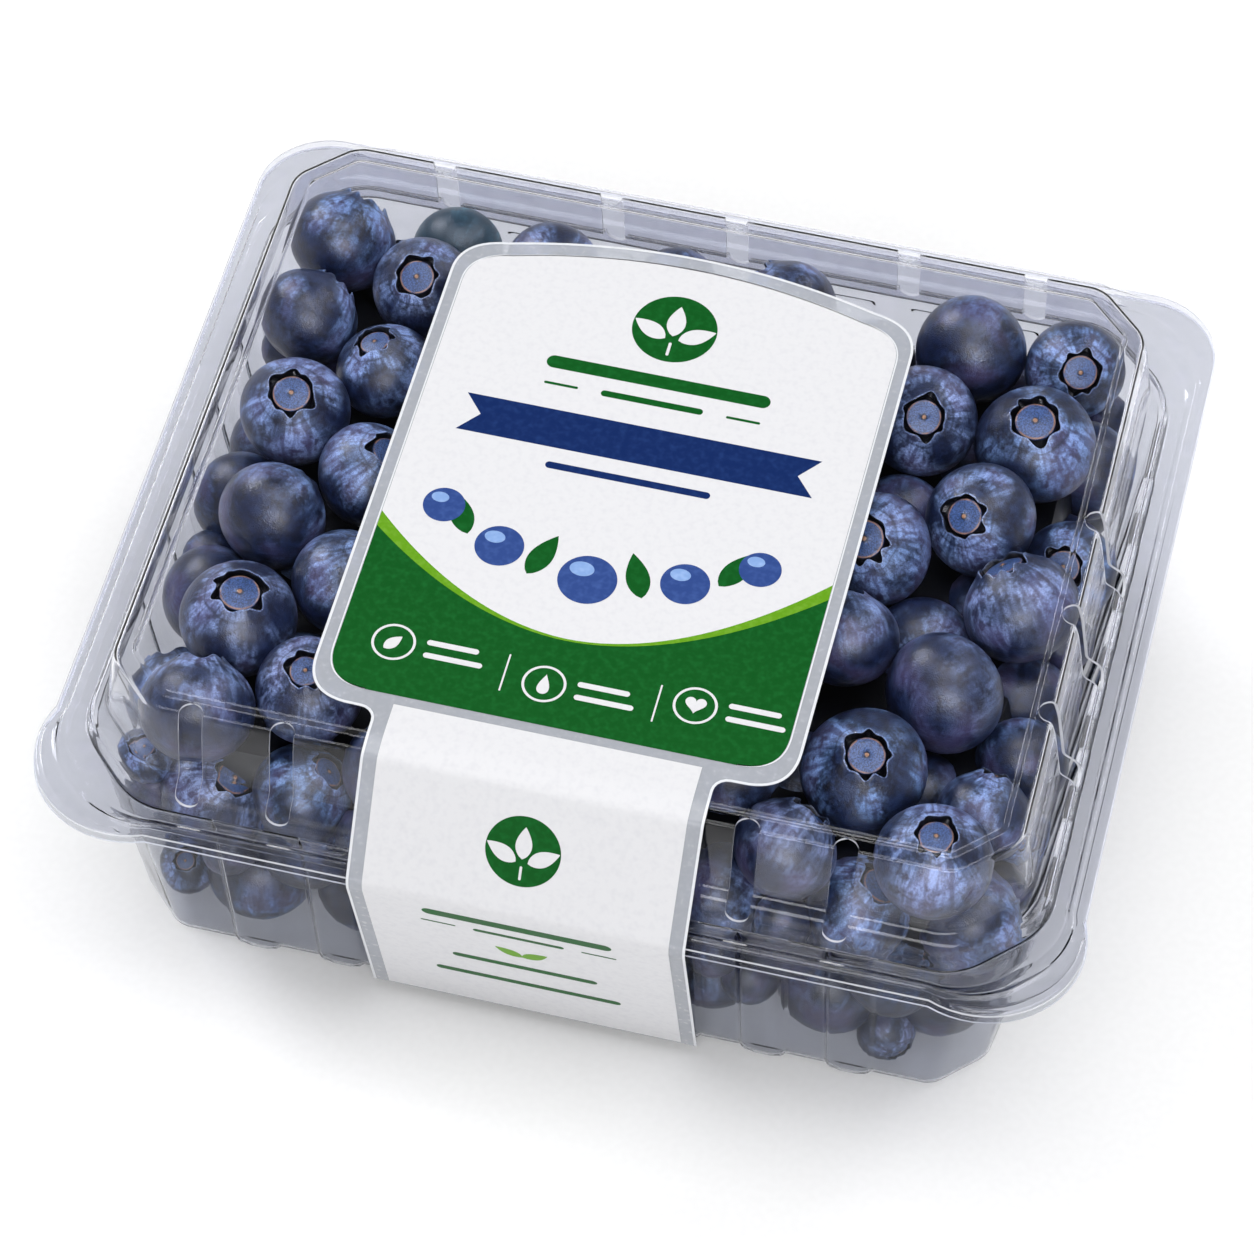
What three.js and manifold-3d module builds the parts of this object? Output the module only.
// A clear hinged punnet of blueberries: ribbed tray, domed lid, a heap of berries and a seal label.
// Millimetres, +Z up, front towards -Y. The origin is under the middle of the pack, on the floor.
import * as THREE from 'three';
import { mergeVertices } from 'three/addons/utils/BufferGeometryUtils.js';
import Module from 'manifold-3d';

const wasm = await Module();
wasm.setup();

// Driving dimensions of the pack
const packWidth = 150;
const packDepth = 132.4;
const panelTop = 58.4;
const sheet = 0.5;
const gap = 0.3;

// Lid: how far its top edge lies inside the outline of the pack, and the heights of its steps
const sideOverhang = 11;
const hingeOverhang = 15;
const lipTop = 41.2;
const rimTop = panelTop - 0.5;
const lidCorner = { cut: 7.5, radius: 5 };
const lidWall = [
  // outward from the top edge, height
  [0, rimTop],
  [0.8, 55.2],
  [2.1, 46.4],
  [3.9, 45.3],
  [4.5, 44.2],
  [5.2, lipTop],
];

// Lip: a straight edge, with a rounded lobe to pull at each front corner
const lobeRadius = 14;
const lobeStand = 1;
const lobeSpread = Math.acos(1 - lobeStand / lobeRadius);
const hingeCorner = 11;

// Tray: wall ring under the lip and at the foot, measured like the lid's steps
const trayTopOut = 4.7;
const trayFootOut = -1.2;
const footHeight = 2.2;
const footInset = 2.4;
const ribPitch = 12.5;
const ribWidth = 6;
const ribFlank = 0.8;
const ribDepth = 0.9;

// Vent slots, by the place of their middle along the front, the back and the right side. Each starts
// on the rim with a round end, whose middle lies inside the lid's top edge
const slotWidth = 3.4;
const slotInside = 0.4;
const slotBottom = 42.6;
const frontSlots = [-50.6, -37.6, 27.6, 41.2];
const backSlots = [-43, -17.5, 1.5, 27.5, 46.5];
const rightSlots = [8.5, -8.5, -25.7];

// Label film: a panel on the lid that narrows to a strip over the front
const labelThickness = 0.25;
const labelMiddle = -2.2;
const panelHalf = 34.4;
const panelShoulder = 30.5;
const panelCrown = 41.3;
const panelFoot = -48.6;
const stripHalf = 24;

// Berries: those that show under the lid, as x and y from above, by the height of their middles
const showing = [
  {
    z: 48,
    size: 16.8,
    at: [[-55, 5], [-54, -32], [37, 32], [54, 31], [37, 6], [54, -3], [39.5, -33], [48.5, -19]],
  },
  {
    z: 47.5,
    size: 15.4,
    at: [[-44, 37], [-44.5, 18.5], [-42.5, -3], [-53, -14], [-41.5, -23], [-56, 24],
      [48, 15], [33, -14], [-38.5, -41.5]],
  },
  {
    z: 45,
    size: 15.6,
    at: [[-53, -47], [54, -46], [31, -46], [54.5, 44], [38, 45], [13, 46], [-55, 41]],
  },
  {
    z: 41.5,
    size: 14,
    at: [[-62, -3], [-60, -21], [-62, -39], [-41, 48], [-24, 46], [-6, 47], [28, 43],
      [63, 33], [35.5, 18], [60, 12], [43, -8], [60.5, -24], [56, -34], [-27, -47]],
  },
];

// Berries under the label, and the layers below, which reach the walls
const hidden = { z: 47, size: 15.6, columns: 4, rows: 5, pitch: 16.4, x: -2.5, y: -6 };
const layers = { heights: [9, 21.5, 34], size: 15.6, columns: 7, rows: 6, jitter: 1.6, stagger: 0.18 };
const sizeSpread = 0.06;
const wallClearance = 0.9;
const flattening = 0.93;

// How the heap settles: rounds, the share of an overlap taken out in each, and how loose a shown berry is
const settleRounds = 60;
const settleShare = 0.45;
const shownLoose = 0.25;

// The core that joins the berries, by how far it lies inside the wall
const coreInset = 8.4;
const coreBottom = 5;
const coreTop = 43.5;

// Where the upper edge of the lid runs
const topHalf = packWidth / 2 - sideOverhang;
const topFront = -packDepth / 2 + sideOverhang;
const topBack = packDepth / 2 - hingeOverhang;
const topMiddle = (topFront + topBack) / 2;
const topHalfDepth = (topBack - topFront) / 2;

// Top of the tray's lip, under the lid's
const underLip = lipTop - sheet - gap;

// Points of one rounded, cut corner in the quadrant (signX, signY), anticlockwise from above
function cornerPoints(signX, signY, x, y, cut, radius, spread = 0, steps = 3) {
  const shift = cut + radius * (Math.SQRT2 - 1);
  const half = Math.PI / 4;
  const points = [];
  for (let i = 0; i <= steps; i++) {
    const angle = -spread + ((half + spread) * i) / steps;
    points.push([x - radius + radius * Math.cos(angle), y - shift + radius * Math.sin(angle)]);
  }
  for (let i = 0; i <= steps; i++) {
    const angle = half + ((half + spread) * i) / steps;
    points.push([x - shift + radius * Math.cos(angle), y - radius + radius * Math.sin(angle)]);
  }
  const turned = points.map(([px, py]) => [signX * px, signY * py]);
  return signX * signY > 0 ? turned : turned.reverse();
}

// Rib corners along one side: at each rib the wall steps out by depth and comes back
function ribPoints(count, depth) {
  const points = [];
  for (let i = 0; i < count; i++) {
    const middle = (i - (count - 1) / 2) * ribPitch;
    const half = ribWidth / 2;
    points.push([middle - half - ribFlank, 0], [middle - half, depth]);
    points.push([middle + half, depth], [middle + half + ribFlank, 0]);
  }
  return points;
}

// A level ring of the pack, out from the lid's top edge. A ring without ribs has depth null.
const frontRibs = 8;
const sideRibs = 6;
function wallRing(out, z, depth = null) {
  const halfX = topHalf + out;
  const halfY = topHalfDepth + out;
  const cut = Math.max(lidCorner.cut + out * (2 - Math.SQRT2), lidCorner.cut / 3);
  const radius = Math.max(lidCorner.radius + out, 1);
  const front = depth === null ? [] : ribPoints(frontRibs, depth);
  const side = depth === null ? [] : ribPoints(sideRibs, depth);
  const corner = (sx, sy) => cornerPoints(sx, sy, halfX, halfY, cut, radius);
  const ring = [
    ...front.map(([s, d]) => [s, -halfY - d]),
    ...corner(1, -1),
    ...side.map(([s, d]) => [halfX + d, s]),
    ...corner(1, 1),
    ...front.map(([s, d]) => [-s, halfY + d]),
    ...corner(-1, 1),
    ...side.map(([s, d]) => [-halfX - d, -s]),
    ...corner(-1, -1),
  ];
  return ring.map(([x, y]) => new THREE.Vector3(x, y + topMiddle, z));
}

// The ring of the lip, with lobes at the front and plain round corners at the hinge
function lipRing(z, ribbed) {
  const edgeX = packWidth / 2 - lobeStand;
  const round = (r) => r * (2 - Math.SQRT2);
  const front = ribbed ? ribPoints(frontRibs, 0) : [];
  const side = ribbed ? ribPoints(sideRibs, 0) : [];
  const frontEdge = -packDepth / 2 + lobeStand;
  const lobe = (sx) => cornerPoints(sx, -1, packWidth / 2, packDepth / 2,
    round(lobeRadius), lobeRadius, lobeSpread);
  const heel = (sx) => cornerPoints(sx, 1, edgeX, packDepth / 2, round(hingeCorner), hingeCorner);
  const ring = [
    ...front.map(([s]) => [s, frontEdge]),
    ...lobe(1),
    ...side.map(([s]) => [edgeX, s + topMiddle]),
    ...heel(1),
    ...front.map(([s]) => [-s, packDepth / 2]),
    ...heel(-1),
    ...side.map(([s]) => [-edgeX, -s + topMiddle]),
    ...lobe(-1),
  ];
  return ring.map(([x, y]) => new THREE.Vector3(x, y, z));
}

// A closed skin through a run of rings, each with as many points, shut by a fan at both ends
function loft(rings) {
  const size = rings[0].length;
  const positions = [];
  const indices = [];
  for (const ring of rings) {
    for (const p of ring) positions.push(p.x, p.y, p.z);
  }
  for (let r = 0; r < rings.length - 1; r++) {
    for (let i = 0; i < size; i++) {
      const j = (i + 1) % size;
      const a = r * size + i;
      const b = r * size + j;
      indices.push(a, b, b + size, a, b + size, a + size);
    }
  }
  const cap = (ring, start, flip) => {
    const centre = positions.length / 3;
    positions.push(0, topMiddle, ring[0].z);
    for (let i = 0; i < size; i++) {
      const a = start + i;
      const b = start + ((i + 1) % size);
      indices.push(centre, flip ? b : a, flip ? a : b);
    }
  };
  cap(rings[0], 0, true);
  cap(rings.at(-1), (rings.length - 1) * size, false);
  const geometry = new THREE.BufferGeometry();
  geometry.setAttribute('position', new THREE.Float32BufferAttribute(positions, 3));
  geometry.setIndex(indices);
  return geometry;
}

// Between a three.js geometry and a solid that can be cut and joined
function toSolid(geometry) {
  const plain = geometry.clone();
  plain.deleteAttribute('normal');
  plain.deleteAttribute('uv');
  const merged = mergeVertices(plain, 1e-4);
  return new wasm.Manifold(new wasm.Mesh({
    numProp: 3,
    vertProperties: new Float32Array(merged.attributes.position.array),
    triVerts: new Uint32Array(merged.index.array),
  }));
}

function toGeometry(solid) {
  const mesh = solid.getMesh();
  const geometry = new THREE.BufferGeometry();
  geometry.setAttribute('position', new THREE.BufferAttribute(mesh.vertProperties, 3));
  geometry.setIndex(new THREE.BufferAttribute(mesh.triVerts, 1));
  geometry.computeVertexNormals();
  return geometry;
}

// Tray: up the outside with its ribs, out to the lip's edge, and down the inside
function trayGeometry() {
  const floorRise = 0.2;
  const wallTop = underLip - sheet - 0.1;
  return loft([
    wallRing(trayFootOut - footInset, 0, 0),
    wallRing(trayFootOut, footHeight, ribDepth),
    wallRing(trayTopOut - sheet, wallTop, ribDepth),
    lipRing(underLip - sheet, true),
    lipRing(underLip, true),
    wallRing(trayTopOut - 2 * sheet, underLip, ribDepth),
    wallRing(trayFootOut - sheet, footHeight + floorRise, ribDepth),
    wallRing(trayFootOut - footInset, sheet, 0),
  ]);
}

// Lid: from the inside of its panel down to the lip, round the edge and up to the panel's top
function lidGeometry() {
  const panelEdge = -2.8;
  // The inside drops by the whole sheet at the top edge, the ledge and the lip, less on the steep walls
  const levelSteps = [0, 3, 5];
  const inside = lidWall.map(([out, z], i) => {
    const drop = levelSteps.includes(i) ? sheet : sheet / 3;
    return wallRing(out - sheet, z - drop);
  });
  const outside = lidWall.map(([out, z]) => wallRing(out, z));
  return loft([
    wallRing(panelEdge, panelTop - sheet),
    wallRing(panelEdge + sheet, rimTop - sheet),
    ...inside,
    lipRing(lipTop - sheet, false),
    lipRing(lipTop, false),
    ...outside.reverse(),
    wallRing(panelEdge + sheet, rimTop),
    wallRing(panelEdge, panelTop),
  ]);
}

// A vent's two cutters, turned and placed: an upright one with a round foot, which runs out through
// the wall, and a round one for the vent's end on the rim
function slotCutters(turn, x, y) {
  const half = slotWidth / 2;
  const depth = 8;
  const shape = new THREE.Shape();
  shape.moveTo(half, slotBottom + half);
  shape.lineTo(half, panelTop + half);
  shape.lineTo(-half, panelTop + half);
  shape.lineTo(-half, slotBottom + half);
  shape.absarc(0, slotBottom + half, half, Math.PI, 2 * Math.PI, false);
  const upright = new THREE.ExtrudeGeometry(shape, { depth, bevelEnabled: false, curveSegments: 6 });
  const end = new THREE.CylinderGeometry(half, half, depth, 12);
  return [upright.rotateX(Math.PI / 2), end.rotateX(Math.PI / 2).translate(0, 0, panelTop)]
    .map((cutter) => toSolid(cutter.rotateZ(turn).translate(x, y, 0)));
}

function cutSlots(lid) {
  const vents = [
    ...frontSlots.map((x) => [0, x, topFront + slotInside]),
    ...backSlots.map((x) => [Math.PI, x, topBack - slotInside]),
    ...rightSlots.map((y) => [Math.PI / 2, topHalf - slotInside, y]),
  ];
  let solid = toSolid(lid);
  for (const vent of vents) {
    for (const cutter of slotCutters(...vent)) solid = solid.subtract(cutter);
  }
  return solid;
}

// Hinge: the round bead at the back where the sheet folds over, raised from the lip
function hingeBead() {
  const radius = 1.7;
  const half = topHalf - 5;
  const sunk = 0.2;
  const shape = new THREE.Shape();
  shape.moveTo(radius, 0);
  shape.absarc(0, 0, radius, 0, Math.PI, false);
  const long = { depth: 2 * half, bevelEnabled: false, curveSegments: 6 };
  const bead = new THREE.ExtrudeGeometry(shape, long);
  return bead.rotateX(Math.PI / 2).rotateZ(Math.PI / 2)
    .translate(-half, packDepth / 2 - radius - sunk, lipTop - sunk);
}

// Label panel on the lid: domed at the back, round corners, and a hollow curve into the strip
function labelPanel(bottom) {
  const left = labelMiddle - panelHalf;
  const right = labelMiddle + panelHalf;
  const stripLeft = labelMiddle - stripHalf;
  const stripRight = labelMiddle + stripHalf;
  const corner = 7;
  const neck = 2;
  const domeFoot = panelShoulder + corner;
  const round = domeFoot - 1;
  const shape = new THREE.Shape();
  shape.moveTo(stripRight, panelFoot - neck);
  shape.quadraticCurveTo(stripRight, panelFoot, stripRight + neck, panelFoot);
  shape.quadraticCurveTo(right, panelFoot, right, panelFoot + corner);
  shape.lineTo(right, panelShoulder);
  shape.quadraticCurveTo(right, round, right - corner, domeFoot);
  shape.quadraticCurveTo(labelMiddle, 2 * panelCrown - domeFoot, left + corner, domeFoot);
  shape.quadraticCurveTo(left, round, left, panelShoulder);
  shape.lineTo(left, panelFoot + corner);
  shape.quadraticCurveTo(left, panelFoot, stripLeft - neck, panelFoot);
  shape.quadraticCurveTo(stripLeft, panelFoot, stripLeft, panelFoot - neck);
  const flat = { depth: labelThickness, bevelEnabled: false, curveSegments: 8 };
  return new THREE.ExtrudeGeometry(shape, flat).translate(0, 0, bottom);
}

// Label strip: its course over the lid's edge, straight to the lip and in to the foot of the tray
function labelStrip(bottom) {
  const lipFront = -packDepth / 2 + lobeStand - gap;
  const footFront = topFront - trayFootOut - ribDepth - gap;
  const film = labelThickness;
  const course = [
    // y and z of the film's underside, then how far its outside lies from it
    [panelFoot - 1.5, bottom, 0, film],
    [topFront + 2.6, bottom, 0, film],
    [topFront - 0.5, rimTop - 0.1, -film, film],
    [lipFront, lipTop + gap, -film, 0],
    [lipFront, lipTop - 1.2, -film, 0],
    [footFront, 1.4, -film, 0],
  ];
  const outside = course.map(([y, z, outY, outZ]) => [y + outY, z + outZ]).reverse();
  const section = [...course, ...outside].map(([y, z]) => new THREE.Vector2(y, z));
  const wide = { depth: 2 * stripHalf, bevelEnabled: false };
  return new THREE.ExtrudeGeometry(new THREE.Shape(section), wide)
    .rotateX(Math.PI / 2).rotateZ(Math.PI / 2).translate(labelMiddle - stripHalf, 0, 0);
}

function labelSolid() {
  const bottom = panelTop + gap;
  return toSolid(labelPanel(bottom)).add(toSolid(labelStrip(bottom)));
}

// Seeded draws between 0 and 1
const drawModulus = 2 ** 31 - 1;
let seed = 20257;
function draw() {
  seed = (seed * 16807) % drawModulus;
  return seed / drawModulus;
}

// How far out from the lid's top edge the inside of the pack reaches at a height
function wallOut(z) {
  if (z < underLip) {
    const rise = (z - footHeight) / (underLip - footHeight);
    return trayFootOut + rise * (trayTopOut - sheet - trayFootOut) - sheet;
  }
  const upper = lidWall.findIndex(([, height]) => height <= z);
  if (upper < 1) return -sheet;
  const [outA, zA] = lidWall[upper - 1];
  const [outB, zB] = lidWall[upper];
  return outA + ((z - zA) / (zB - zA)) * (outB - outA) - sheet;
}

// The least that the wall leaves beside a ball: wall reach less the ball's half chord, by height
function wallRoom(z, r) {
  const chords = [-0.8, -0.4, 0, 0.4, 0.8].map((t) => wallOut(z + t * r) - r * Math.sqrt(1 - t * t));
  return Math.min(...chords) - wallClearance;
}

// Keep a berry off the walls, the cut corners, the floor and the underside of the lid
function confine(berry) {
  const r = berry.size / 2;
  const lowest = sheet + wallClearance + r;
  berry.z = Math.min(Math.max(berry.z, lowest), rimTop - sheet - wallClearance - r);
  const room = wallRoom(berry.z, r);
  const limitX = topHalf + room;
  const limitY = topHalfDepth + room;
  berry.x = Math.min(Math.max(berry.x, -limitX), limitX);
  const y = Math.min(Math.max(berry.y - topMiddle, -limitY), limitY);
  const corner = limitX + limitY - lidCorner.cut - room * (2 - Math.SQRT2);
  const over = Math.max(Math.abs(berry.x) + Math.abs(y) - corner, 0) / 2;
  berry.x -= Math.sign(berry.x) * over;
  berry.y = y - Math.sign(y) * over + topMiddle;
}

// The heap as first laid: the berries that show, those under the label and the layers below
function laidBerries() {
  const berries = [];
  const place = (x, y, z, size, shown = false) => {
    const vary = 1 + sizeSpread * (2 * draw() - 1);
    berries.push({ x, y, z, size: size * vary, shown, loose: shown ? shownLoose : 1 });
  };
  const jitter = () => layers.jitter * (draw() - 0.5);
  for (const { z, size, at } of showing) {
    for (const [x, y] of at) place(x, y, z, size, true);
  }
  for (let i = 0; i < hidden.columns; i++) {
    for (let j = 0; j < hidden.rows; j++) {
      const x = hidden.x + (i - (hidden.columns - 1) / 2) * hidden.pitch;
      const y = hidden.y + (j - (hidden.rows - 1) / 2) * hidden.pitch;
      place(x + jitter(), y + jitter(), hidden.z, hidden.size);
    }
  }
  layers.heights.forEach((z, layer) => {
    const out = wallOut(z) - wallClearance - layers.size / 2;
    const stagger = layer % 2 ? layers.stagger : -layers.stagger;
    for (let i = 0; i < layers.columns; i++) {
      for (let j = 0; j < layers.rows; j++) {
        const u = (2 * (i + (j % 2 ? stagger : -stagger))) / (layers.columns - 1) - 1;
        const v = (2 * j) / (layers.rows - 1) - 1;
        const x = u * (topHalf + out) + 2 * jitter();
        const y = topMiddle + v * (topHalfDepth + out) + 2 * jitter();
        place(x, y, z + jitter(), layers.size);
      }
    }
  });
  return berries;
}

// The heap settled by pushing berries that overlap apart until they only touch
function settledBerries() {
  const berries = laidBerries();
  for (let round = 0; round < settleRounds; round++) {
    const push = berries.map(() => [0, 0, 0]);
    for (let i = 0; i < berries.length; i++) {
      for (let j = i + 1; j < berries.length; j++) {
        const [a, b] = [berries[i], berries[j]];
        const away = [a.x - b.x, a.y - b.y, a.z - b.z];
        const apart = Math.hypot(...away);
        const overlap = (a.size + b.size) / 2 - apart;
        if (overlap <= 0) continue;
        for (let k = 0; k < 3; k++) {
          const step = (settleShare * overlap * away[k]) / apart / (a.loose + b.loose);
          push[i][k] += step * a.loose;
          push[j][k] -= step * b.loose;
        }
      }
    }
    berries.forEach((berry, i) => {
      berry.x += push[i][0];
      berry.y += push[i][1];
      berry.z += push[i][2];
      confine(berry);
    });
  }
  return berries;
}

// Half a berry's size, or less where a neighbour presses in, so that berries join only at the core
function freeRadius(berry, berries) {
  const shares = berries.filter((other) => other !== berry).map((other) => {
    const apart = Math.hypot(berry.x - other.x, berry.y - other.y, berry.z - other.z);
    return (apart - gap) * (berry.size / (berry.size + other.size));
  });
  return Math.min(berry.size / 2, ...shares);
}

// One solid: a core inside the heap, with each berry that stands out of it fused on
function heapGeometry() {
  const coreRing = (z) => wallRing(wallOut(z) - coreInset, z);
  const heapBerries = settledBerries();
  let heap = toSolid(loft([coreRing(coreBottom), coreRing(coreTop)]));
  for (const berry of heapBerries) {
    const { x, y, z } = berry;
    const r = freeRadius(berry, heapBerries);
    const buried = wallOut(z) - coreInset - r - gap;
    const insideX = Math.abs(x) < topHalf + buried;
    const insideY = Math.abs(y - topMiddle) < topHalfDepth + buried;
    if (insideX && insideY && z + r < coreTop) continue;
    const round = berry.shown
      ? new THREE.IcosahedronGeometry(r, 1)
      : new THREE.DodecahedronGeometry(r, 0);
    const turned = round.scale(1, 1, flattening).rotateX(draw() - 0.5).rotateY(draw() - 0.5);
    heap = heap.add(toSolid(turned.translate(x, y, z)));
  }
  return toGeometry(heap);
}

const clear = new THREE.MeshStandardMaterial({
  color: 0xe9ecf2, roughness: 0.08, metalness: 0, transparent: true, opacity: 0.35,
});

const punnet = new THREE.Group();
const tray = new THREE.Mesh(trayGeometry(), clear.clone());
tray.name = 'tray';
const lid = new THREE.Mesh(toGeometry(cutSlots(lidGeometry()).add(toSolid(hingeBead()))), clear.clone());
lid.name = 'lid';
const label = new THREE.Mesh(toGeometry(labelSolid()),
  new THREE.MeshStandardMaterial({ color: 0xf2f2f4, roughness: 0.45, metalness: 0 }));
label.name = 'label';
const berries = new THREE.Mesh(heapGeometry(),
  new THREE.MeshStandardMaterial({ color: 0x2b3a67, roughness: 0.6, metalness: 0 }));
berries.name = 'berries';
punnet.add(tray, lid, berries, label);

export default punnet;
